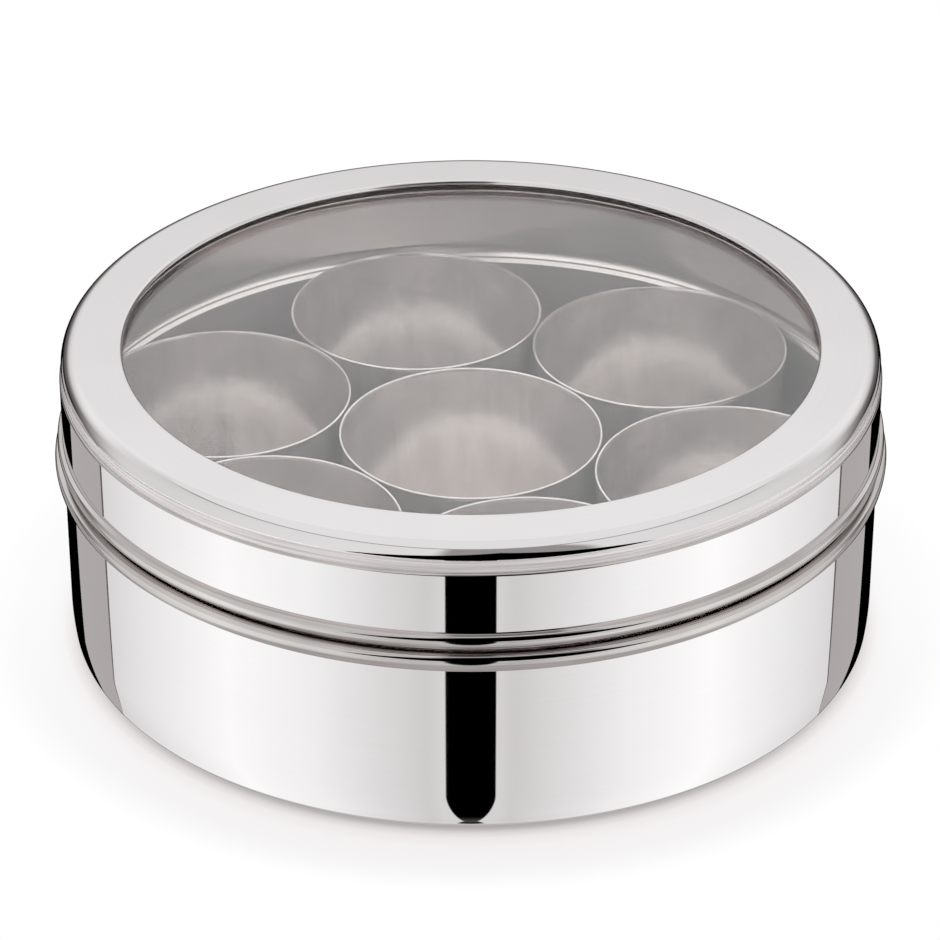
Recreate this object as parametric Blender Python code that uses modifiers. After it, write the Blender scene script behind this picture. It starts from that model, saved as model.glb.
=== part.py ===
"""Spice box (masala dabba): a steel tub, a lid with a clear window, and seven loose bowls."""

import math

import bpy
from mathutils import Matrix

# Driving dimensions, in metres. Z = 0 is the surface that the tub stands on.
OVERALL_HEIGHT = 0.0762
WALL_RADIUS = 0.1003

# Tub: drawn sheet with a neck inside the lid and a rolled bead that the lid sits on.
TUB_SHEET = 0.0006
TUB_NECK_TOP_BELOW_LID = 0.0125
TUB_BEAD_HEIGHT = 0.0058
TUB_BEAD_PROUD = 0.0021
TUB_BEAD_TOP_BELOW_LID = 0.0264
TUB_FOOT_HEIGHT = 0.0090
TUB_FOOT_INSET = 0.0005
TUB_CORNER_RADIUS = 0.0015

# Lid: skirt round the neck, narrower crimped band at the top, solid hem at the bottom, round window.
LID_SHEET = 0.0005
LID_SKIRT_CLEARANCE = 0.0004
LID_SHOULDER_RADIUS = 0.0029
LID_BAND_INSET = 0.0005
LID_BAND_HEIGHT = 0.0066
LID_HEM_RADIUS = 0.0019
LID_HEM_CENTRE_INSET = 0.0006
LID_SEAT_GAP = 0.0003
LID_RIM_WIDTH = 0.0154
WINDOW_LIP_RADIUS = 0.0006
WINDOW_LIP_HEIGHT = 0.0011

# Window pane, its seal against the lid, and the steel ring that holds it from below.
PANE_THICKNESS = 0.0020
PANE_OVERLAP = 0.0052
SEAL_THICKNESS = 0.0012
SEAL_INSET = 0.0008
KEEPER_SHEET = 0.0006
KEEPER_OVERLAP = 0.0038
STACK_GAP = 0.0003

# Bowls: one in the middle and the rest in a ring round it. They fill the tub inside its neck.
RING_BOWLS = 6
BOWL_SPACING = 0.0004
BOWL_NECK_CLEARANCE = 0.0004
BOWL_RIM_BELOW_LID = 0.0282
BOWL_TURN = math.radians(-17.5)
BOWL_SHEET = 0.0005
BOWL_TAPER = 0.0012
BOWL_CORNER_RADIUS = 0.0080
BOWL_LIP_RADIUS = 0.0004
FLOOR_GAP = 0.0003

# Facets round each turned shape.
SHELL_STEPS = 48
BOWL_STEPS = 28

# Sizes that follow from the ones above.
LID_TOP = OVERALL_HEIGHT
TUB_BEAD_TOP = LID_TOP - TUB_BEAD_TOP_BELOW_LID
TUB_NECK_TOP = LID_TOP - TUB_NECK_TOP_BELOW_LID
TUB_NECK_RADIUS = WALL_RADIUS - LID_SHEET - LID_SKIRT_CLEARANCE
LID_HEM_BOTTOM = TUB_BEAD_TOP + LID_SEAT_GAP
LID_HEM_CENTRE = LID_HEM_BOTTOM + LID_HEM_RADIUS
LID_INNER_RADIUS = WALL_RADIUS - LID_SHEET
LID_BAND_RADIUS = WALL_RADIUS - LID_BAND_INSET
WINDOW_RADIUS = WALL_RADIUS - LID_RIM_WIDTH
SEAL_RADIUS = WINDOW_RADIUS + LID_SHEET + SEAL_INSET
SEAL_TOP = LID_TOP - LID_SHEET - STACK_GAP
SEAL_BOTTOM = SEAL_TOP - SEAL_THICKNESS
PANE_RADIUS = WINDOW_RADIUS + PANE_OVERLAP
PANE_TOP = SEAL_BOTTOM - STACK_GAP
PANE_BOTTOM = PANE_TOP - PANE_THICKNESS
KEEPER_TOP = PANE_BOTTOM - STACK_GAP
KEEPER_WALL_RADIUS = PANE_RADIUS + STACK_GAP
BOWL_BASE = TUB_SHEET + FLOOR_GAP
BOWL_HEIGHT = LID_TOP - BOWL_RIM_BELOW_LID - BOWL_BASE
BOWL_REACH = TUB_NECK_RADIUS - TUB_SHEET - BOWL_NECK_CLEARANCE
# Ring radius over bowl pitch: 1 up to six bowls, where the middle bowl sets it, and more beyond.
RING_SHARE = max(1.0, 0.5 / math.sin(math.pi / RING_BOWLS))
BOWL_RADIUS = (BOWL_REACH - RING_SHARE * BOWL_SPACING) / (2 * RING_SHARE + 1)
RING_RADIUS = RING_SHARE * (2 * BOWL_RADIUS + BOWL_SPACING)


def point_on_arc(centre, radius, degrees):
    """A profile point (r, z) on a circle, at an angle up from the outward direction."""
    angle = math.radians(degrees)
    return (centre[0] + radius * math.cos(angle), centre[1] + radius * math.sin(angle))


def arc(centre, radius, start, end, steps):
    """Profile points along an arc, both ends included."""
    turn = (end - start) / steps
    return [point_on_arc(centre, radius, start + turn * step) for step in range(steps + 1)]


def steel(name, colour, roughness):
    return principled(name, colour, roughness, metallic=1.0)


def principled(name, colour, roughness, metallic=0.0, alpha=1.0):
    material = bpy.data.materials.new(name)
    material.use_nodes = True
    shader = material.node_tree.nodes["Principled BSDF"]
    shader.inputs["Base Color"].default_value = (*colour, 1.0)
    shader.inputs["Roughness"].default_value = roughness
    shader.inputs["Metallic"].default_value = metallic
    shader.inputs["Alpha"].default_value = alpha
    return material


def new_collection(name):
    collection = bpy.data.collections.new(name)
    bpy.context.scene.collection.children.link(collection)
    return collection


def new_empty(name, collection, place):
    empty = bpy.data.objects.new(name, None)
    empty.empty_display_size = 0.02
    empty.location = place
    collection.objects.link(empty)
    return empty


def profile_mesh(name, profile, closed):
    """A mesh of edges that join the profile's points in the XZ plane."""
    vertices = [(radius, 0.0, height) for radius, height in profile]
    edges = [(index, index + 1) for index in range(len(profile) - 1)]
    if closed:
        edges.append((len(profile) - 1, 0))
    mesh = bpy.data.meshes.new(name)
    mesh.from_pydata(vertices, edges, [])
    return mesh


def turned(name, profile, closed, steps, material, collection, sheet=0.0):
    """A profile turned about Z. An open one is thickened inward to a sheet."""
    piece = bpy.data.objects.new(name, profile_mesh(name, profile, closed))
    piece.data.materials.append(material)
    collection.objects.link(piece)
    screw = piece.modifiers.new("turn", "SCREW")
    screw.axis = "Z"
    screw.angle = math.tau
    screw.steps = steps
    screw.render_steps = steps
    screw.use_merge_vertices = True
    screw.merge_threshold = 0.00001
    screw.use_smooth_shade = True
    if sheet:
        skin = piece.modifiers.new("sheet", "SOLIDIFY")
        skin.thickness = sheet
        skin.offset = -1.0
        skin.use_even_offset = True
    return piece


def hang_on(parent, piece, place=(0.0, 0.0, 0.0)):
    """Parents a piece to an empty, at a place given in the world."""
    piece.parent = parent
    piece.matrix_parent_inverse = Matrix.Translation(parent.location).inverted()
    piece.location = place


def bead_arc():
    """The half-round bead of the tub, from the neck out and back to the wall."""
    half = TUB_BEAD_HEIGHT / 2
    radius = (half**2 + TUB_BEAD_PROUD**2) / (2 * TUB_BEAD_PROUD)
    centre = (WALL_RADIUS + TUB_BEAD_PROUD - radius, TUB_BEAD_TOP - half)
    reach = math.degrees(math.asin(half / radius))
    return arc(centre, radius, reach, -reach, 6)


def tub_profile():
    neck = [(TUB_NECK_RADIUS, TUB_NECK_TOP), (TUB_NECK_RADIUS, TUB_BEAD_TOP)]
    foot_radius = WALL_RADIUS - TUB_FOOT_INSET
    corner_centre = (foot_radius - TUB_CORNER_RADIUS, TUB_CORNER_RADIUS)
    foot = [(WALL_RADIUS, TUB_FOOT_HEIGHT)]
    half_way = TUB_CORNER_RADIUS + (TUB_FOOT_HEIGHT - TUB_CORNER_RADIUS) / 2
    foot.append((WALL_RADIUS - TUB_FOOT_INSET / 4, half_way))
    corner = arc(corner_centre, TUB_CORNER_RADIUS, 0, -90, 3)
    return neck + bead_arc() + foot + corner + [(0.0, 0.0)]


def lid_profile():
    """The lid's sheet as one closed outline, up the window lip and down the outside."""
    lip_bottom = LID_TOP - WINDOW_LIP_HEIGHT
    lip_centre = (WINDOW_RADIUS + WINDOW_LIP_RADIUS, LID_TOP - WINDOW_LIP_RADIUS)
    lip = [(WINDOW_RADIUS, lip_bottom)] + arc(lip_centre, WINDOW_LIP_RADIUS, 180, 90, 3)
    drop = LID_TOP - LID_SHOULDER_RADIUS
    shoulder_centre = (LID_BAND_RADIUS - LID_SHOULDER_RADIUS, drop)
    shoulder = arc(shoulder_centre, LID_SHOULDER_RADIUS, 90, 0, 4)
    band_bottom = LID_TOP - LID_BAND_HEIGHT
    step = [(LID_BAND_RADIUS, band_bottom), (WALL_RADIUS, band_bottom - LID_BAND_INSET)]
    hem_centre = (WALL_RADIUS - LID_HEM_CENTRE_INSET, LID_HEM_CENTRE)
    start = math.degrees(math.acos(LID_HEM_CENTRE_INSET / LID_HEM_RADIUS))
    end = -math.degrees(math.acos((LID_HEM_CENTRE_INSET - LID_SHEET) / LID_HEM_RADIUS))
    hem = arc(hem_centre, LID_HEM_RADIUS, start, end, 7)
    inner_shoulder_radius = LID_SHOULDER_RADIUS - LID_SHEET
    inner_band_radius = LID_BAND_RADIUS - LID_SHEET
    inner_step = [(LID_INNER_RADIUS, band_bottom - LID_BAND_INSET), (inner_band_radius, band_bottom)]
    inner_centre = (inner_band_radius - inner_shoulder_radius, drop)
    inner_shoulder = arc(inner_centre, inner_shoulder_radius, 0, 90, 3)
    lip_outer_radius = WINDOW_RADIUS + LID_SHEET
    underside = [(lip_outer_radius, LID_TOP - LID_SHEET), (lip_outer_radius, lip_bottom)]
    return lip + shoulder + step + hem + inner_step + inner_shoulder + underside


def seal_profile():
    return [
        (SEAL_RADIUS, SEAL_TOP),
        (PANE_RADIUS, SEAL_TOP),
        (PANE_RADIUS, SEAL_BOTTOM),
        (SEAL_RADIUS, SEAL_BOTTOM),
    ]


def keeper_profile():
    """An L: a shelf under the pane, and a wall round its edge up to the lid."""
    shelf_radius = PANE_RADIUS - KEEPER_OVERLAP
    outer_radius = KEEPER_WALL_RADIUS + KEEPER_SHEET
    shelf_bottom = KEEPER_TOP - KEEPER_SHEET
    return [
        (shelf_radius, KEEPER_TOP),
        (KEEPER_WALL_RADIUS, KEEPER_TOP),
        (KEEPER_WALL_RADIUS, SEAL_TOP),
        (outer_radius, SEAL_TOP),
        (outer_radius, shelf_bottom),
        (shelf_radius, shelf_bottom),
    ]


def pane_profile():
    return [(0.0, PANE_TOP), (PANE_RADIUS, PANE_TOP), (PANE_RADIUS, PANE_BOTTOM), (0.0, PANE_BOTTOM)]


def bowl_profile():
    """The outside of a bowl from its rim to the middle of its base, with its base at 0."""
    lip_wall = BOWL_RADIUS - BOWL_LIP_RADIUS
    foot_radius = lip_wall - BOWL_TAPER
    corner_centre = (foot_radius - BOWL_CORNER_RADIUS, BOWL_CORNER_RADIUS)
    rim = [(BOWL_RADIUS, BOWL_HEIGHT), (BOWL_RADIUS, BOWL_HEIGHT - BOWL_LIP_RADIUS)]
    rim.append((lip_wall, BOWL_HEIGHT - 3 * BOWL_LIP_RADIUS))
    return rim + arc(corner_centre, BOWL_CORNER_RADIUS, 0, -90, 4) + [(0.0, 0.0)]


def build_tub(collection):
    material = steel("tub_polished_steel", (0.78, 0.77, 0.76), 0.12)
    tub = turned("tub", tub_profile(), False, SHELL_STEPS, material, collection, TUB_SHEET)
    origin = new_empty("tub_origin", collection, (0.0, 0.0, 0.0))
    hang_on(origin, tub)


def build_lid(collection):
    lift = new_empty("lid_lift_axis", collection, (0.0, 0.0, LID_TOP))
    ring_steel = steel("lid_polished_steel", (0.80, 0.79, 0.78), 0.10)
    ring = turned("lid_ring", lid_profile(), True, SHELL_STEPS, ring_steel, collection)
    seal_rubber = principled("seal_dark_rubber", (0.03, 0.03, 0.03), 0.70)
    seal = turned("window_seal", seal_profile(), True, SHELL_STEPS, seal_rubber, collection)
    pane_clear = principled("pane_clear", (0.92, 0.94, 0.94), 0.03, alpha=0.25)
    pane = turned("window_pane", pane_profile(), False, SHELL_STEPS, pane_clear, collection)
    keeper_steel = steel("keeper_satin_steel", (0.70, 0.69, 0.68), 0.35)
    keeper = turned("pane_keeper", keeper_profile(), True, SHELL_STEPS, keeper_steel, collection)
    for piece in (ring, seal, pane, keeper):
        hang_on(lift, piece)


def bowl_places():
    """Names and centres: the middle bowl first, then the ring, anticlockwise from +X."""
    places = [("bowl_centre", (0.0, 0.0, BOWL_BASE))]
    for number in range(RING_BOWLS):
        angle = BOWL_TURN + number * math.tau / RING_BOWLS
        place = (RING_RADIUS * math.cos(angle), RING_RADIUS * math.sin(angle), BOWL_BASE)
        places.append((f"bowl_ring_{number + 1}", place))
    return places


def build_bowls(collection):
    for name, place in bowl_places():
        material = steel(f"{name}_satin_steel", (0.72, 0.71, 0.70), 0.28)
        bowl = turned(name, bowl_profile(), False, BOWL_STEPS, material, collection, BOWL_SHEET)
        lift = new_empty(f"{name}_lift_axis", collection, place)
        hang_on(lift, bowl, place)


def clear_scene():
    for item in list(bpy.data.objects):
        bpy.data.objects.remove(item, do_unlink=True)


def main():
    clear_scene()
    collection = new_collection("spice_box")
    build_tub(collection)
    build_lid(collection)
    build_bowls(collection)


main()
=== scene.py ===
import math

import bpy
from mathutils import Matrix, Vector


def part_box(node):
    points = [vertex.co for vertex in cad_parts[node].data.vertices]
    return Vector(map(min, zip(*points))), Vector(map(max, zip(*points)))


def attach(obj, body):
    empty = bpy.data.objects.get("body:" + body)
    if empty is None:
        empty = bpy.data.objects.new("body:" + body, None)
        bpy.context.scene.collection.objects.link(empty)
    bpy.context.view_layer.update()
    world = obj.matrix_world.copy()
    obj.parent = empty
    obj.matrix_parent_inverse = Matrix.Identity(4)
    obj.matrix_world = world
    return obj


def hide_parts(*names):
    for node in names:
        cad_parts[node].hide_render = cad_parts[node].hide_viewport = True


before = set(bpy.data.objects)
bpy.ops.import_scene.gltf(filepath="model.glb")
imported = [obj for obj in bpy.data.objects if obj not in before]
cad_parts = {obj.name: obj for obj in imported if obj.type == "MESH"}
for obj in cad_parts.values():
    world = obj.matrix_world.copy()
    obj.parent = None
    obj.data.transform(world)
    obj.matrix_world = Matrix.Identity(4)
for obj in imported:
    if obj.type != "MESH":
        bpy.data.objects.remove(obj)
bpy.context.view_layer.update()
mm = 0.001
print("frame loaded:", len(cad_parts), "nodes")


# helpers
def linearColour(hexCode):
    channels = [int(hexCode[i:i + 2], 16) / 255 for i in (1, 3, 5)]
    return tuple(c / 12.92 if c <= 0.04045 else ((c + 0.055) / 1.055) ** 2.4 for c in channels) + (1.0,)


def addNode(tree, kind, settings=None):
    # the kind is a type of node or a maths operation; a setting is an input by name or number, with a value, or a
    # socket or node to link, or else it is a property of the node
    node = tree.nodes.new("ShaderNodeMath" if kind.isupper() else kind)
    if kind.isupper():
        node.operation = kind
    for key, value in (settings or {}).items():
        if isinstance(value, bpy.types.Node):
            value = value.outputs[0]
        if not isinstance(key, int) and key not in node.inputs:
            setattr(node, key, value)
        elif isinstance(value, bpy.types.NodeSocket):
            tree.links.new(value, node.inputs[key])
        else:
            node.inputs[key].default_value = value
    return node


def rampStops(node, stops, low, high):
    # stops are (place, brightness), with places between low and high
    elements = node.color_ramp.elements
    while len(elements) > 1:
        elements.remove(elements[-1])
    for index, (place, level) in enumerate(stops):
        spot = (place - low) / (high - low)
        element = elements[0] if index == 0 else elements.new(spot)
        element.position = spot
        element.color = (level, level, level, 1.0)


# turned shapes: an outline of (radius, height) points, spun about Z
def arcPoints(centre, radius, start, end, count):
    points = []
    for step in range(count + 1):
        angle = math.radians(start + (end - start) * step / count)
        points.append((centre[0] + radius * math.cos(angle), centre[1] + radius * math.sin(angle)))
    return points


def ovalPoints(centre, wide, tall, start, end, count):
    return [(centre[0] + wide * (r - centre[0]), centre[1] + tall * (z - centre[1]))
            for r, z in arcPoints(centre, 1.0, start, end, count)]


def followBends(start, bends):
    # a bend is (radius, from, to), in degrees that the surface faces above level, and hollow if the radius is below
    # zero; a straight is (length, degrees)
    points = [start]
    for bend in bends:
        radius, height = points[-1]
        if len(bend) == 2:
            facing = math.radians(bend[1])
            points.append((radius + bend[0] * math.sin(facing), height - bend[0] * math.cos(facing)))
            continue
        first = math.radians(bend[1])
        count = max(4, int(abs(bend[2] - bend[1]) / 5))
        for step in range(1, count + 1):
            facing = math.radians(bend[1] + (bend[2] - bend[1]) * step / count)
            points.append((radius + bend[0] * (math.cos(facing) - math.cos(first)),
                           height + bend[0] * (math.sin(facing) - math.sin(first))))
    return points


def finished(points, slot):
    # the material slot of each stretch of outline goes with the point it starts from
    return [(radius, height, slot) for radius, height in points]


def steadyOutline(outline, hold):
    # a short face of this length beside each bend, so that flat stretches shade flat
    steady = []
    for here, there in zip(outline, outline[1:]):
        steady.append(here)
        step = Vector(there[:2]) - Vector(here[:2])
        if step.length > 6 * hold:
            steady.append((*(Vector(here[:2]) + step.normalized() * hold), here[2]))
            steady.append((*(Vector(there[:2]) - step.normalized() * hold), here[2]))
    return steady + [outline[-1]]


turning = {"hold": 0.12, "sharpAngle": 50, "onAxis": 1e-6}


def turnedMesh(name, outline, steps, hold=turning["hold"] * mm):
    # the outline closes on itself, or starts and ends on the axis
    loop = steadyOutline(outline + [outline[0]], hold)[:-1]
    rings, vertices = [], []
    for radius, height, slot in loop:
        if radius < turning["onAxis"]:
            rings.append([len(vertices)] * steps)
            vertices.append((0.0, 0.0, height))
            continue
        rings.append(list(range(len(vertices), len(vertices) + steps)))
        for step in range(steps):
            angle = math.tau * step / steps
            vertices.append((radius * math.cos(angle), radius * math.sin(angle), height))
    faces, slots = [], []
    for index, (*_, slot) in enumerate(loop):
        top, bottom = rings[index], rings[(index + 1) % len(loop)]
        if top[0] == top[1] and bottom[0] == bottom[1]:
            continue
        for step in range(steps):
            following = (step + 1) % steps
            corners = [top[step], bottom[step], bottom[following], top[following]]
            faces.append([c for i, c in enumerate(corners) if c not in corners[:i]])
            slots.append(slot)
    mesh = bpy.data.meshes.new(name)
    mesh.from_pydata(vertices, [], faces)
    mesh.polygons.foreach_set("material_index", slots)
    mesh.polygons.foreach_set("use_smooth", [True] * len(faces))
    mesh.set_sharp_from_angle(angle=math.radians(turning["sharpAngle"]))
    mesh.update()
    return mesh


def addPiece(name, mesh, materials, body, node, place=(0, 0, 0)):
    piece = bpy.data.objects.new(name, mesh)
    for material in materials:
        piece.data.materials.append(material)
    piece.location = place
    bpy.context.scene.collection.objects.link(piece)
    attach(piece, body)
    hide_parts(node)


# materials
def newMaterial(name):
    material = bpy.data.materials.new(name)
    material.use_nodes = True
    tree = material.node_tree
    return material, tree, tree.nodes["Principled BSDF"]


def turnedCoordinates(tree, roundScale, spacing):
    # a point for noise: its direction from the axis, and its distance along the outline in spacings
    place = addNode(tree, "ShaderNodeTexCoord").outputs["Object"]
    parts = addNode(tree, "ShaderNodeSeparateXYZ", {0: place})
    flat = addNode(tree, "ShaderNodeCombineXYZ", {"X": parts.outputs["X"], "Y": parts.outputs["Y"]})
    reach = addNode(tree, "ShaderNodeVectorMath", {"operation": "LENGTH", 0: flat}).outputs["Value"]
    unit = addNode(tree, "ShaderNodeVectorMath", {"operation": "NORMALIZE", 0: flat})
    wide = addNode(tree, "ShaderNodeVectorMath", {"operation": "SCALE", 0: unit, "Scale": roundScale})
    along = addNode(tree, "SUBTRACT", {0: parts.outputs["Z"], 1: reach})
    rise = addNode(tree, "ShaderNodeCombineXYZ", {"Z": addNode(tree, "MULTIPLY", {0: along, 1: 1 / (spacing * mm)})})
    return addNode(tree, "ShaderNodeVectorMath", {"operation": "ADD", 0: wide, 1: rise})


# the noise behind every steel finish: rings and broad patches, and the stretch of it that the finish spans
steelNoise = {"ringDetail": 3.0, "ringRoughness": 0.6, "patchDetail": 2.0, "from": 0.32, "to": 0.68}


def spunSteel(name, look):
    # cold-rolled 304 stainless: a warm grey metal, polished or left with fine rings from the lathe
    material, tree, shader = newMaterial(name)
    shader.inputs["Metallic"].default_value = look["metallic"]
    shader.inputs["Anisotropic"].default_value = look["anisotropic"]
    rings = turnedCoordinates(tree, look["ringDrift"], look["ringSpacing"])
    ringNoise = addNode(tree, "ShaderNodeTexNoise", {"Scale": 1.0, "Detail": steelNoise["ringDetail"],
                                                     "Roughness": steelNoise["ringRoughness"], "Vector": rings})
    patches = turnedCoordinates(tree, look["patchesRound"], look["patchHeight"])
    patchNoise = addNode(tree, "ShaderNodeTexNoise", {"Scale": 1.0, "Detail": steelNoise["patchDetail"],
                                                      "Vector": patches})
    both = addNode(tree, "ShaderNodeMix", {"Factor": look["patchShare"], "A": ringNoise.outputs["Fac"],
                                           "B": patchNoise.outputs["Fac"]})
    low, high = look["roughness"]
    spread = addNode(tree, "ShaderNodeMapRange", {"From Min": steelNoise["from"], "From Max": steelNoise["to"],
                                                  "Value": both})
    rough = addNode(tree, "ShaderNodeMapRange", {"To Min": low, "To Max": high, "Value": spread})
    tree.links.new(rough.outputs[0], shader.inputs["Roughness"])
    tint = addNode(tree, "ShaderNodeMix", {"data_type": "RGBA", "A": linearColour(look["dark"]),
                                           "B": linearColour(look["light"]), "Factor": spread})
    tree.links.new(tint.outputs["Result"], shader.inputs["Base Color"])
    if look["anisotropic"]:
        # rings left by the lathe spread a highlight across themselves, up and down the wall
        shader.inputs["Anisotropic Rotation"].default_value = 0.25
        tangent = addNode(tree, "ShaderNodeTangent", {"direction_type": "RADIAL", "axis": "Z"})
        tree.links.new(tangent.outputs[0], shader.inputs["Tangent"])
    if look["ringDepth"] or look["patchDepth"]:
        bump = addNode(tree, "ShaderNodeBump", {"Distance": look["ringDepth"] * mm,
                                                "Height": ringNoise.outputs["Fac"]})
        wave = addNode(tree, "ShaderNodeBump", {"Distance": look["patchDepth"] * mm, "Normal": bump.outputs[0],
                                                "Height": patchNoise.outputs["Fac"]})
        tree.links.new(wave.outputs[0], shader.inputs["Normal"])
    return material


# spacings, heights and depths are in mm; a lathe's rings are finer than a tenth of one, and are drawn coarser to show
# polished on a mop: a clear, slightly warm mirror
polish = {"dark": "#ebe6e6", "light": "#efebeb", "metallic": 1.0, "roughness": (0.015, 0.03), "anisotropic": 0.0,
          "ringSpacing": 0.8, "ringDrift": 2.0, "patchesRound": 3.0, "patchHeight": 60.0, "patchShare": 0.7,
          "ringDepth": 0.0, "patchDepth": 0.0}
# pressed between rollers and left so: a matt grey band with fine rings
rolled = {"dark": "#a8a2a1", "light": "#dad4d3", "metallic": 0.8, "roughness": (0.42, 0.55), "anisotropic": 0.0,
          "ringSpacing": 0.5, "ringDrift": 1.6, "patchesRound": 6.0, "patchHeight": 30.0, "patchShare": 0.1,
          "ringDepth": 0.01, "patchDepth": 0.0}
# burnished by the tool that curled it: bright, and a little darker than the mirror
edge = {"dark": "#bdb7b5", "light": "#dcd6d4", "metallic": 1.0, "roughness": (0.03, 0.08), "anisotropic": 0.0,
        "ringSpacing": 0.6, "ringDrift": 2.0, "patchesRound": 6.0, "patchHeight": 30.0, "patchShare": 0.4,
        "ringDepth": 0.002, "patchDepth": 0.0}
# spun and scrubbed: a soft pale sheen, drawn out across the rings
satin = {"dark": "#efe9e7", "light": "#f6f1ef", "metallic": 0.82, "roughness": (0.17, 0.24), "anisotropic": 0.5,
         "ringSpacing": 1.0, "ringDrift": 3.0, "patchesRound": 5.0, "patchHeight": 40.0, "patchShare": 0.6,
         "ringDepth": 0.002, "patchDepth": 0.0}

mirrorSteel = spunSteel("mirrorPolishedStainless", polish)
rolledSteel = spunSteel("rolledStainlessBand", rolled)
edgeSteel = spunSteel("burnishedStainlessEdge", edge)
satinSteel = spunSteel("satinSpunStainless", satin)


paneLook = {"colour": "#fefdfc", "ior": 1.49, "gloss": 0.08}
sealLook = {"colour": "#1c1a19", "grain": 900.0, "grainDetail": 2.0, "roughness": (0.5, 0.75)}


def clearAcrylic():
    # extruded acrylic sheet, quite clear, its gloss held down as through a polarising filter
    material, tree, shader = newMaterial("clearAcrylicSheet")
    shader.inputs["Base Color"].default_value = linearColour(paneLook["colour"])
    shader.inputs["Transmission Weight"].default_value = 1.0
    shader.inputs["Roughness"].default_value = 0.0
    shader.inputs["IOR"].default_value = paneLook["ior"]
    shader.inputs["Specular IOR Level"].default_value = paneLook["gloss"]
    return material


def darkNitrile():
    # moulded nitrile rubber, matt and nearly black, with a fine grain
    material, tree, shader = newMaterial("darkNitrileSeal")
    noise = addNode(tree, "ShaderNodeTexNoise", {"Scale": sealLook["grain"], "Detail": sealLook["grainDetail"]})
    low, high = sealLook["roughness"]
    rough = addNode(tree, "ShaderNodeMapRange", {"To Min": low, "To Max": high, "Value": noise.outputs["Fac"]})
    shader.inputs["Base Color"].default_value = linearColour(sealLook["colour"])
    tree.links.new(rough.outputs[0], shader.inputs["Roughness"])
    return material


paneMaterial = clearAcrylic()
sealMaterial = darkNitrile()
print("materials made")

# lid ring: window lip, flat rim, shoulder, grooved band, skirt and hem, in mm and degrees; grooves, feet, tops and
# bottoms are measured down from the lid's top
lidRing = {"sheet": 0.5, "rimWidth": 15.4, "lipRadius": 0.6, "lipCurl": 0.22, "lipHeight": 1.1,
           "shoulder": 3.4, "bandInset": 0.5, "bandFoot": 6.6, "bandBack": 0.8,
           "grooves": (4.85, 5.6, 6.3), "grooveDeep": 0.06, "grooveHalf": 0.22,
           "ledgeCrease": 0.1, "ledgeBend": 0.574, "ledgeFacing": 75,
           "hemOuter": 1.3, "hemTop": 22.3, "hemBottom": 26.45,
           "hemTuck": 0.1, "hemTuckLow": 0.02, "hemTuckHigh": 0.2, "steps": 288}
# the hem and the tub's bead share this edge: radii in mm, and ledge and face in degrees above level
rolledEdgeShape = {"crease": 0.15, "ledge": 80, "bend": 0.35, "face": 25, "faceRadius": 2.4, "underSteps": 16}
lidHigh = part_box("lid_ring")[1]
wallRadius = lidHigh.x - lidRing["hemOuter"] * mm


def rolledEdge(start, peakRadius, bottom):
    # a crease, a nearly level ledge, a tight bend, a steep face and a fuller curve under
    look = rolledEdgeShape
    ledge = look["ledge"]
    bends = [(-look["crease"] * mm, 0, ledge), (look["bend"] * mm, ledge, look["face"]),
             (look["faceRadius"] * mm, look["face"], 0)]
    taken = sum(size * (math.cos(math.radians(last)) - math.cos(math.radians(first))) for size, first, last in bends)
    bends.insert(1, ((peakRadius - start[0] - taken) / math.sin(math.radians(ledge)), ledge))
    points = followBends(start, bends)
    peak = (wallRadius, points[-1][1])
    return points + ovalPoints(peak, peakRadius - wallRadius, peak[1] - bottom, 0, -90, look["underSteps"])[1:]


def lidOutline():
    v = {key: value * mm for key, value in lidRing.items() if not isinstance(value, tuple)}
    top = lidHigh.z
    opening = wallRadius - v["rimWidth"]
    band = wallRadius - v["bandInset"]
    curlCentre = (opening + 0.3 * v["lipCurl"], top - v["lipHeight"] + v["lipCurl"])
    lip = arcPoints(curlCentre, v["lipCurl"], -90, -230, 9)
    lip += arcPoints((opening + v["lipRadius"], top - v["lipRadius"]), v["lipRadius"], 180, 90, 8)
    shoulder = followBends((band - v["shoulder"], top), [(v["shoulder"], 90, 0)])
    grooved = [shoulder.pop()]
    for below in lidRing["grooves"]:
        for step in (-1, 0, 1):
            grooved.append((band - v["grooveDeep"] * (step == 0), top - below * mm - step * v["grooveHalf"]))
    facing = lidRing["ledgeFacing"]
    ledge = followBends((band, top - v["bandFoot"]), [(-v["ledgeCrease"], 0, facing), (v["ledgeBend"], facing, 0)])
    skirt = [ledge.pop()]
    hem = rolledEdge((wallRadius, top - v["hemTop"]), lidHigh.x, top - v["hemBottom"])
    inner = wallRadius - v["sheet"]
    inside = [(inner + v["hemTuck"], top - v["hemBottom"] + v["hemTuckLow"]),
              (inner, top - v["hemBottom"] + v["hemTuckHigh"]),
              (inner, top - v["bandFoot"] - v["bandBack"]), (band - v["sheet"], top - v["bandFoot"])]
    innerBend = v["shoulder"] - v["sheet"]
    inside += arcPoints((band - v["shoulder"], top - v["shoulder"]), innerBend, 0, 90, 10)
    lipBack = opening + v["sheet"]
    inside += [(lipBack, top - v["sheet"]), (lipBack, top - v["lipHeight"] + 0.5 * v["lipCurl"])]
    return (finished(lip + shoulder, 0) + finished(grooved, 1) + finished(ledge, 2) + finished(skirt, 0)
            + finished(hem, 2) + finished(inside, 3))


lidMesh = turnedMesh("lidRing", lidOutline(), lidRing["steps"])
addPiece("lidRing", lidMesh, [mirrorSteel, rolledSteel, edgeSteel, satinSteel], "lid", "lid_ring")

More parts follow.
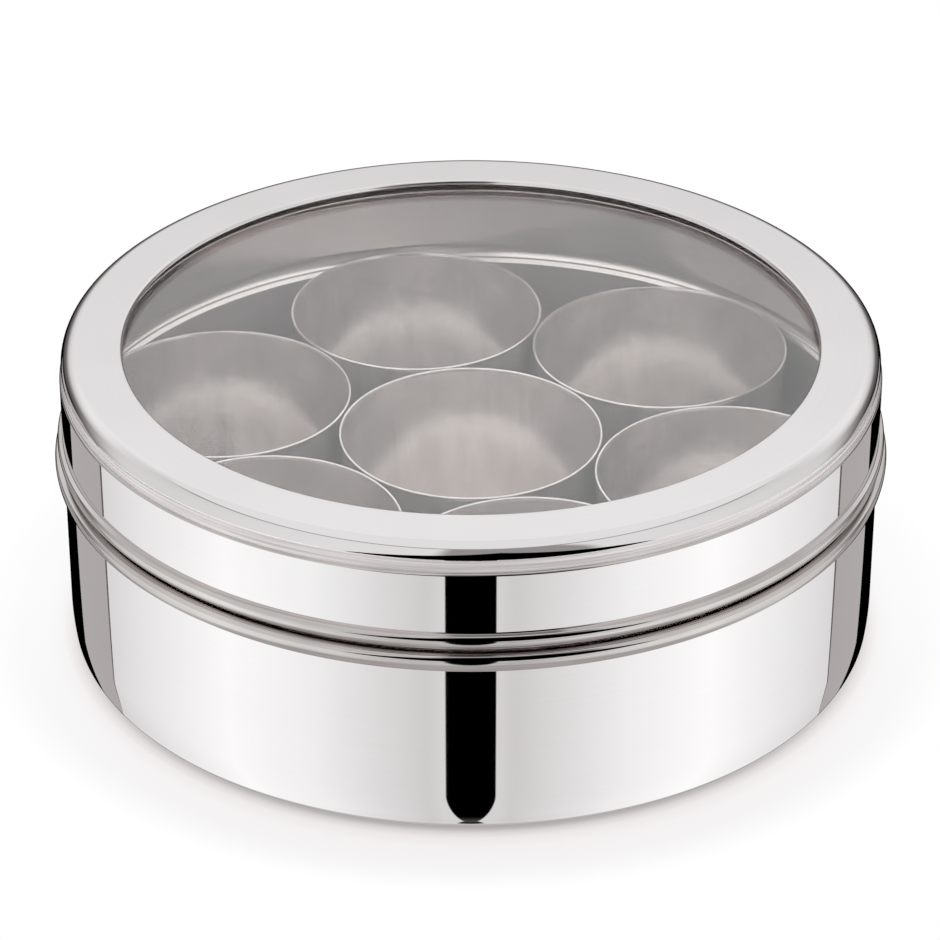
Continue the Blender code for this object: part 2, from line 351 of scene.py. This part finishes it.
# tub: rim edge, neck, rolled bead, wall and a tight corner to a flat base, in mm, with the bead below the lid's top
tub = {"sheet": 0.6, "neckInset": 0.9, "beadTop": 26.77, "beadPeak": 28.6, "beadBottom": 32.2, "beadProud": 2.1,
       "beadBack": 0.6, "beadTuck": 0.3, "footHeight": 9.0, "footInset": 0.5, "footSteps": 12, "corner": 1.5,
       "cornerFrom": -8, "steps": 288}
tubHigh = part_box("tub")[1]


def tubOutline():
    v = {key: value * mm for key, value in tub.items()}
    top = lidHigh.z
    sheet = v["sheet"]
    neck = wallRadius - v["neckInset"]
    edgeBend = sheet / 2
    rim = arcPoints((neck - edgeBend, tubHigh.z - edgeBend), edgeBend, 90, 0, 6)
    bead = rolledEdge((neck, top - v["beadTop"]), wallRadius + v["beadProud"], top - v["beadBottom"])
    wall = [bead.pop()]
    foot = []
    for step in range(tub["footSteps"] + 1):
        share = step / tub["footSteps"]
        height = v["footHeight"] + (v["corner"] - v["footHeight"]) * share
        foot.append((wallRadius - v["footInset"] * share ** 2, height))
    base = wallRadius - v["footInset"] - v["corner"]
    wall += foot + arcPoints((base, v["corner"]), v["corner"], tub["cornerFrom"], -90, 10)
    inside = [(0.0, 0.0), (0.0, sheet)]
    inside += arcPoints((base, v["corner"]), v["corner"] - sheet, -90, tub["cornerFrom"], 6)
    inside += [(r - sheet, z) for r, z in reversed(foot)]
    inside.append((wallRadius - sheet, top - v["beadBottom"] - v["beadBack"]))
    peak = (wallRadius, top - v["beadPeak"])
    hollow = v["beadProud"] - sheet
    inside += ovalPoints(peak, hollow, v["beadBottom"] - v["beadPeak"] - v["beadTuck"], -80, 0, 14)
    inside += ovalPoints(peak, hollow, v["beadPeak"] - v["beadTop"] - sheet, 0, 80, 10)[1:]
    # back over the bead and up the neck, a sheet behind the outside
    inside += [(neck, top - v["beadTop"] - sheet), (neck - 0.7 * sheet, top - v["beadTop"] - 0.6 * sheet),
               (neck - sheet, top - v["beadTop"] + 0.5 * sheet)]
    inside += arcPoints((neck - edgeBend, tubHigh.z - edgeBend), edgeBend, 180, 100, 5)
    return finished(rim, 2) + finished(bead, 1) + finished(wall, 0) + finished(inside, 2)


tubMesh = turnedMesh("tub", tubOutline(), tub["steps"])
addPiece("tub", tubMesh, [mirrorSteel, edgeSteel, satinSteel], "tub", "tub")
print("lid ring and tub turned")

# window seal, in mm, its inner edge measured out from the window's
seal = {"inner": 1.3, "bevel": 0.2, "hold": 0.03, "steps": 192}


def roundedRing(inner, outer, low, high, bevel):
    return [(inner, high - bevel), (inner + bevel, high), (outer - bevel, high), (outer, high - bevel),
            (outer, low + bevel), (outer - bevel, low), (inner + bevel, low), (inner, low + bevel)]


sealLow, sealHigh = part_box("window_seal")
windowRadius = wallRadius - lidRing["rimWidth"] * mm
sealInner = windowRadius + seal["inner"] * mm
sealOutline = roundedRing(sealInner, sealHigh.x, sealLow.z, sealHigh.z, seal["bevel"] * mm)
sealMesh = turnedMesh("windowSeal", finished(sealOutline, 0), seal["steps"], seal["hold"] * mm)
addPiece("windowSeal", sealMesh, [sealMaterial], "lid", "window_seal")

# window pane: a flat disc with a bevelled edge, in mm
pane = {"bevel": 0.2, "hold": 0.05, "steps": 192}
paneLow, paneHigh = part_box("window_pane")
bevel = pane["bevel"] * mm
paneOutline = [(0.0, paneHigh.z), (paneHigh.x - bevel, paneHigh.z), (paneHigh.x, paneHigh.z - bevel),
               (paneHigh.x, paneLow.z + bevel), (paneHigh.x - bevel, paneLow.z), (0.0, paneLow.z)]
paneMesh = turnedMesh("windowPane", finished(paneOutline, 0), pane["steps"], pane["hold"] * mm)
addPiece("windowPane", paneMesh, [paneMaterial], "lid", "window_pane")

# pane keeper: a shelf under the pane and a wall round it, in mm, its inner edge measured out from the window's
keeper = {"sheet": 0.6, "inner": 1.4, "edgeRound": 0.3, "hold": 0.05, "steps": 192}
keeperLow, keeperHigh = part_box("pane_keeper")
shelfTop = keeperLow.z + keeper["sheet"] * mm
keeperWall = keeperHigh.x - keeper["sheet"] * mm
keeperInner = windowRadius + keeper["inner"] * mm
shelfRound = keeper["edgeRound"] * mm
shelfEnd = arcPoints((keeperInner + shelfRound, keeperLow.z + shelfRound), shelfRound, -90, -270, 8)
keeperOutline = shelfEnd + [(keeperWall, shelfTop), (keeperWall, keeperHigh.z), (keeperHigh.x, keeperHigh.z),
                            (keeperHigh.x, keeperLow.z)]
keeperMesh = turnedMesh("paneKeeper", finished(keeperOutline, 0), keeper["steps"], keeper["hold"] * mm)
addPiece("paneKeeper", keeperMesh, [satinSteel], "lid", "pane_keeper")
print("window fitted")

# bowls, in mm: a rolled rim, a wall that tapers to a rounded corner, and a flat bottom
bowl = {"sheet": 0.5, "rimRound": 0.36, "wallInset": 0.4, "wallBelowRim": 1.2, "insideBelowRim": 0.8, "taper": 1.2,
        "corner": 8.0, "hold": 0.06, "steps": 144}


def bowlOutline(radius, height):
    v = {key: value * mm for key, value in bowl.items()}
    wallTop = radius - v["wallInset"]
    foot = wallTop - v["taper"]
    corner = v["corner"]
    sheet = v["sheet"]
    rim = arcPoints((radius - v["rimRound"], height - v["rimRound"]), v["rimRound"], 150, -60, 14)
    outside = rim + [(wallTop, height - v["wallBelowRim"])]
    outside += arcPoints((foot - corner, corner), corner, 0, -90, 14) + [(0.0, 0.0)]
    inside = [(0.0, sheet)] + arcPoints((foot - corner, corner), corner - sheet, -90, 0, 14)
    inside.append((wallTop - sheet, height - v["insideBelowRim"]))
    return outside + inside


# deeper rings and broad waves than on the tub, which streak and cloud what the bowls reflect
bowlLook = dict(satin, dark="#d2cdcb", light="#e6e1df", metallic=0.84, roughness=(0.09, 0.17), ringDrift=22.0,
                ringSpacing=16.0, ringDepth=0.06, patchesRound=3.5, patchHeight=9.0, patchDepth=0.14)
bowlSteel = spunSteel("satinBowlStainless", bowlLook)
for node in sorted(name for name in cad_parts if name.startswith("bowl")):
    low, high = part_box(node)
    centre = (low + high) / 2
    radius = (high.x - low.x) / 2
    outline = finished(bowlOutline(radius, high.z - low.z), 0)
    mesh = turnedMesh(node, outline, bowl["steps"], bowl["hold"] * mm)
    place = (centre.x, centre.y, low.z)
    addPiece(node.replace("_", "") + "Spun", mesh, [bowlSteel], node, node, place)
print("bowls spun")

# studio: what the steel reflects, set by direction alone, as in a tent of white cards; turns are degrees round from
# the viewer's side, rises are degrees above level, and levels are (place, brightness)
lowCards = {
    # below the rim of the table, by turn
    "levels": [(-180, 0.0), (-156, 0.0), (-153, 0.47), (-134, 0.49), (-132, 0.74), (-103, 0.97), (-72, 1.18),
               (-45, 1.06), (-25, 0.86), (-12, 0.74), (-8, 0.80), (8, 0.80), (12, 0.74), (25, 0.86), (45, 1.06),
               (72, 1.2), (103, 0.97), (132, 0.76), (134, 0.46), (152, 0.46), (155, 0.0), (180, 0.0)],
    "gapHalf": 7.0, "gapEnd": -33.0, "gapRound": 17.0, "gapEdge": (0.97, 1.06),
    "table": 0.56, "tableRise": (-46.0, -60.0),
}
highCards = {
    # above it by turn, and at the back by rise
    "levels": [(-180, 0.0), (-150, 0.55), (-110, 0.75), (-60, 0.85), (0, 0.88), (60, 0.85), (110, 0.75), (150, 0.62),
               (180, 0.6)],
    "backdrop": [(-90, 0.5), (-26, 0.0), (-10, 0.0), (10, 0.2), (22, 0.76), (26, 0.82), (31, 0.96), (35, 0.98),
                 (42, 0.88), (90, 0.88)],
    "backdropEdge": (0.2, 0.7),
    "greyTurn": 12.0, "greyHalf": 20.0, "greySoft": 3, "greyLevel": 0.34,
    "darkTurn": 8.0, "darkPeak": 30.0, "darkSlope": 1.3, "darkEdge": (2.0, -1.0),
}
lamp = {"wide": 0.75, "deep": 0.8, "back": 0.2, "level": 0.9, "lowest": 0.02, "soft": (1.0, 0.85),
        "edgeLevel": 0.35, "edgeBand": (0.22, 0.08), "edgeBack": (0.45, 0.2)}
light = {"seam": (-26.6, -25.4), "warm": "#fffafb", "cool": "#fbfefe", "throughPane": 1.45,
         "softLevel": 3.9, "softTint": "#fbfaff"}


def brightnessBy(tree, value, stops, low, high):
    span = addNode(tree, "ShaderNodeMapRange", {"Value": value, "From Min": low, "From Max": high})
    ramp = addNode(tree, "ShaderNodeValToRGB", {"Fac": span})
    most = max(level for place, level in stops)
    rampStops(ramp, [(place, level / most) for place, level in stops], low, high)
    grey = addNode(tree, "ShaderNodeSeparateColor", {0: ramp})
    return addNode(tree, "MULTIPLY", {0: grey, 1: most})


def fade(value, edge):
    # settings for a map range node that goes from 0 at one end of the edge to 1 at the other
    return {"interpolation_type": "SMOOTHSTEP", "Value": value, "From Min": edge[0], "From Max": edge[1]}


def distanceFrom(tree, value, middle):
    return addNode(tree, "ABSOLUTE", {0: addNode(tree, "SUBTRACT", {0: value, 1: middle})})


def lowBrightness(tree, turn, rise):
    level = brightnessBy(tree, turn, lowCards["levels"], -180, 180)
    # a dark gap in front, that rounds off towards the table
    down = addNode(tree, "SUBTRACT", {0: lowCards["gapEnd"], 1: rise})
    down = addNode(tree, "MAXIMUM", {0: addNode(tree, "DIVIDE", {0: down, 1: lowCards["gapRound"]}), 1: 0.0})
    across = addNode(tree, "DIVIDE", {0: turn, 1: lowCards["gapHalf"]})
    gap = addNode(tree, "ADD", {0: addNode(tree, "POWER", {0: down, 1: 2.0}),
                                1: addNode(tree, "MULTIPLY", {0: across, 1: across})})
    beside = addNode(tree, "ShaderNodeMapRange", fade(gap, lowCards["gapEdge"]))
    level = addNode(tree, "MULTIPLY", {0: level, 1: beside})
    nearby = addNode(tree, "ShaderNodeMapRange", fade(rise, lowCards["tableRise"]))
    return addNode(tree, "ShaderNodeMix", {"Factor": nearby, "A": level, "B": lowCards["table"]})


def highBrightness(tree, turn, rise, back):
    level = brightnessBy(tree, turn, highCards["levels"], -180, 180)
    backdrop = brightnessBy(tree, rise, highCards["backdrop"], -90, 90)
    behind = addNode(tree, "ShaderNodeMapRange", fade(back, highCards["backdropEdge"]))
    level = addNode(tree, "ShaderNodeMix", {"Factor": behind, "A": level, "B": backdrop})
    # open on the near side, where the camera stands: grey high up, and dark in a wedge from the horizon
    side = distanceFrom(tree, turn, highCards["greyTurn"])
    greyEdge = (highCards["greyHalf"] + highCards["greySoft"], highCards["greyHalf"] - highCards["greySoft"])
    opening = addNode(tree, "ShaderNodeMapRange", fade(side, greyEdge))
    level = addNode(tree, "ShaderNodeMix", {"Factor": opening, "A": level, "B": highCards["greyLevel"]})
    side = distanceFrom(tree, turn, highCards["darkTurn"])
    slope = addNode(tree, "MULTIPLY", {0: side, 1: highCards["darkSlope"]})
    wedge = addNode(tree, "SUBTRACT", {0: highCards["darkPeak"], 1: slope})
    depth = addNode(tree, "SUBTRACT", {0: wedge, 1: rise})
    outside = addNode(tree, "ShaderNodeMapRange", fade(depth, highCards["darkEdge"]))
    return addNode(tree, "MULTIPLY", {0: level, 1: outside})


def withLamp(tree, level, right, back, up):
    # a round lamp overhead, with a dark edge on the near side
    steep = addNode(tree, "MAXIMUM", {0: up, 1: lamp["lowest"]})
    across = addNode(tree, "DIVIDE", {0: addNode(tree, "DIVIDE", {0: right, 1: steep}), 1: lamp["wide"]})
    away = addNode(tree, "SUBTRACT", {0: addNode(tree, "DIVIDE", {0: back, 1: steep}), 1: lamp["back"]})
    away = addNode(tree, "DIVIDE", {0: away, 1: lamp["deep"]})
    spread = addNode(tree, "ADD", {0: addNode(tree, "MULTIPLY", {0: across, 1: across}),
                                   1: addNode(tree, "MULTIPLY", {0: away, 1: away})})
    within = addNode(tree, "ShaderNodeMapRange", fade(spread, lamp["soft"]))
    level = addNode(tree, "ShaderNodeMix", {"Factor": within, "A": level, "B": lamp["level"]})
    band = addNode(tree, "ShaderNodeMapRange", fade(distanceFrom(tree, spread, 1.0), lamp["edgeBand"]))
    near = addNode(tree, "ShaderNodeMapRange", fade(back, lamp["edgeBack"]))
    edge = addNode(tree, "MULTIPLY", {0: band, 1: near})
    return addNode(tree, "ShaderNodeMix", {"Factor": edge, "A": level, "B": lamp["edgeLevel"]})


def directionWorld():
    world = bpy.data.worlds.new("studio")
    bpy.context.scene.world = world
    world.use_nodes = True
    tree = world.node_tree
    tree.nodes.clear()
    direction = addNode(tree, "ShaderNodeTexCoord").outputs["Generated"]
    right, back, up = addNode(tree, "ShaderNodeSeparateXYZ", {0: direction}).outputs
    front = addNode(tree, "MULTIPLY", {0: back, 1: -1.0})
    turn = addNode(tree, "DEGREES", {0: addNode(tree, "ARCTAN2", {0: right, 1: front})})
    rise = addNode(tree, "DEGREES", {0: addNode(tree, "ARCSINE", {0: up})})
    low = lowBrightness(tree, turn, rise)
    high = withLamp(tree, highBrightness(tree, turn, rise, back), right, back, up)
    above = addNode(tree, "ShaderNodeMapRange", fade(rise, light["seam"]))
    level = addNode(tree, "ShaderNodeMix", {"Factor": above, "A": low, "B": high})
    tint = addNode(tree, "ShaderNodeMix", {"data_type": "RGBA", "Factor": level, "A": linearColour(light["warm"]),
                                           "B": linearColour(light["cool"])})
    # more light for what's seen through the pane, for the steel's many bounces that a render leaves out
    rays = addNode(tree, "ShaderNodeLightPath").outputs
    inside = addNode(tree, "MINIMUM", {0: rays["Transmission Depth"], 1: 1.0})
    gain = addNode(tree, "ShaderNodeMix", {"Factor": inside, "A": 1.0, "B": light["throughPane"]})
    level = addNode(tree, "MULTIPLY", {0: level, 1: gain})
    lit = addNode(tree, "ShaderNodeBackground", {"Strength": level, "Color": tint.outputs["Result"]})
    # one even light for whatever the steel scatters, and plain white for the camera
    soft = addNode(tree, "ShaderNodeBackground", {"Color": linearColour(light["softTint"]),
                                                  "Strength": light["softLevel"]})
    plain = addNode(tree, "ShaderNodeBackground", {"Color": (1, 1, 1, 1), "Strength": 1.0})
    scattered = addNode(tree, "MINIMUM", {0: rays["Diffuse Depth"], 1: 1.0})
    lit = addNode(tree, "ShaderNodeMixShader", {0: scattered, 1: lit, 2: soft})
    shown = addNode(tree, "ShaderNodeMixShader", {0: rays["Is Camera Ray"], 1: lit, 2: plain})
    addNode(tree, "ShaderNodeOutputWorld", {"Surface": shown})


def layFlat(name, corners, low):
    mesh = bpy.data.meshes.new(name)
    mesh.from_pydata([(x, y, low) for x, y in corners], [], [tuple(range(len(corners)))])
    sheet = bpy.data.objects.new(name, mesh)
    bpy.context.scene.collection.objects.link(sheet)
    return sheet


def glowingMaterial(name):
    material = bpy.data.materials.new(name)
    material.use_nodes = True
    tree = material.node_tree
    tree.nodes.clear()
    glow = addNode(tree, "ShaderNodeEmission")
    addNode(tree, "ShaderNodeOutputMaterial", {"Surface": glow})
    return material, tree, glow


# the floor: white, with a painted shadow round the base, a soft grey fall-off set by distance from the axis, not
# cast, deepest on the near side and warm where grey; half is in metres, the stops are (mm from the axis, brightness),
# and the far side's share is how much of the painted shadow the far side keeps
paintedShadowFloorLook = {"half": 3.0, "below": 0.2, "range": (90, 130), "farShare": 0.35, "tint": "#fffafa", "whiteFrom": 0.8,
             "stops": [(97, 0.36), (99.4, 0.46), (101.0, 0.68), (103.2, 0.84), (107, 0.895), (113, 0.91),
                       (118, 0.945), (124, 1.0)]}


def paleFloor():
    half = paintedShadowFloorLook["half"]
    corners = [(-half, -half), (half, -half), (half, half), (-half, half)]
    floor = layFlat("floor", corners, -paintedShadowFloorLook["below"] * mm)
    floor.visible_glossy = floor.visible_diffuse = False
    material, tree, glow = glowingMaterial("paleFloor")
    place = addNode(tree, "ShaderNodeTexCoord").outputs["Object"]
    reach = addNode(tree, "ShaderNodeVectorMath", {"operation": "LENGTH", 0: place}).outputs["Value"]
    # painted shadow: the floor's glow is dimmed by distance from the axis, and more on the near side
    shade = brightnessBy(tree, addNode(tree, "DIVIDE", {0: reach, 1: mm}), paintedShadowFloorLook["stops"], *paintedShadowFloorLook["range"])
    away = addNode(tree, "ShaderNodeSeparateXYZ", {0: place}).outputs["Y"]
    side = addNode(tree, "DIVIDE", {0: away, 1: reach})
    share = addNode(tree, "ShaderNodeMapRange", {"Value": side, "From Min": -1.0, "From Max": 0.0,
                                                 "To Min": 1.0, "To Max": paintedShadowFloorLook["farShare"]})
    shade = addNode(tree, "ShaderNodeMix", {"Factor": share, "A": 1.0, "B": shade})
    white = addNode(tree, "ShaderNodeMapRange", fade(shade, (paintedShadowFloorLook["whiteFrom"], 1.0)))
    # the painted shadow's grey is tinted warm, fading to white
    tint = addNode(tree, "ShaderNodeMix", {"data_type": "RGBA", "Factor": white, "A": linearColour(paintedShadowFloorLook["tint"]),
                                           "B": (1, 1, 1, 1)})
    tree.links.new(shade.outputs[0], glow.inputs["Strength"])
    tree.links.new(tint.outputs["Result"], glow.inputs["Color"])
    floor.data.materials.append(material)


# cards that lie on the table to either side, and that only the polished steel shows: a white one's dark edge, a grey
# one and a black one behind, all spreading from a corner by the tub's foot, in mm
cards = {"corner": (85.0, -53.0), "edge": (361.0, 148.0), "edgeHalf": 3.6, "back": (272.0, 284.5), "far": 700.0,
         "below": 0.25, "grey": 0.47, "edgeLevel": 0.12, "tint": "#fffafb"}


def layCard(name, side, corners, level):
    card = layFlat(name, [(side * x * mm, y * mm) for x, y in corners], -cards["below"] * mm)
    card.visible_camera = card.visible_diffuse = card.visible_transmission = card.visible_shadow = False
    material, tree, glow = glowingMaterial(name)
    glow.inputs["Strength"].default_value = level
    glow.inputs["Color"].default_value = linearColour(cards["tint"])
    card.data.materials.append(material)


def layCards():
    corner, edgeEnd, backEnd = cards["corner"], cards["edge"], cards["back"]
    along = (Vector(edgeEnd) - Vector(corner)).normalized() * cards["edgeHalf"]
    nearEnd = (edgeEnd[0] + along.y, edgeEnd[1] - along.x)
    farEnd = (edgeEnd[0] - along.y, edgeEnd[1] + along.x)
    black = [corner, backEnd, (backEnd[0], cards["far"]), (0.0, cards["far"]), (0.0, corner[1])]
    for side, word in ((-1, "Left"), (1, "Right")):
        layCard("darkEdgeCard" + word, side, [corner, nearEnd, farEnd], cards["edgeLevel"])
        layCard("greyCard" + word, side, [corner, farEnd, backEnd], cards["grey"])
        layCard("blackCard" + word, side, black, 0.0)


directionWorld()
paleFloor()
layCards()

# camera: long lens from above the near side, in mm and degrees, with clipEnd in metres
view = {"lens": 153.2, "sensor": 36.0, "elevation": 30.3, "distance": 994.3, "targetBelowLid": 38.2, "aside": -0.2,
        "clipEnd": 20.0}


def addCamera():
    camera = bpy.data.objects.new("camera", bpy.data.cameras.new("camera"))
    bpy.context.scene.collection.objects.link(camera)
    camera.data.lens = view["lens"]
    camera.data.sensor_width = view["sensor"]
    tilt = math.radians(view["elevation"])
    away = view["distance"] * mm
    target = lidHigh.z - view["targetBelowLid"] * mm
    camera.location = (view["aside"] * mm, -away * math.cos(tilt), target + away * math.sin(tilt))
    camera.rotation_euler = (math.pi / 2 - tilt, 0.0, 0.0)
    camera.data.clip_end = view["clipEnd"]
    bpy.context.scene.camera = camera


addCamera()
bpy.context.scene.view_settings.view_transform = "Standard"
print("studio and camera ready")
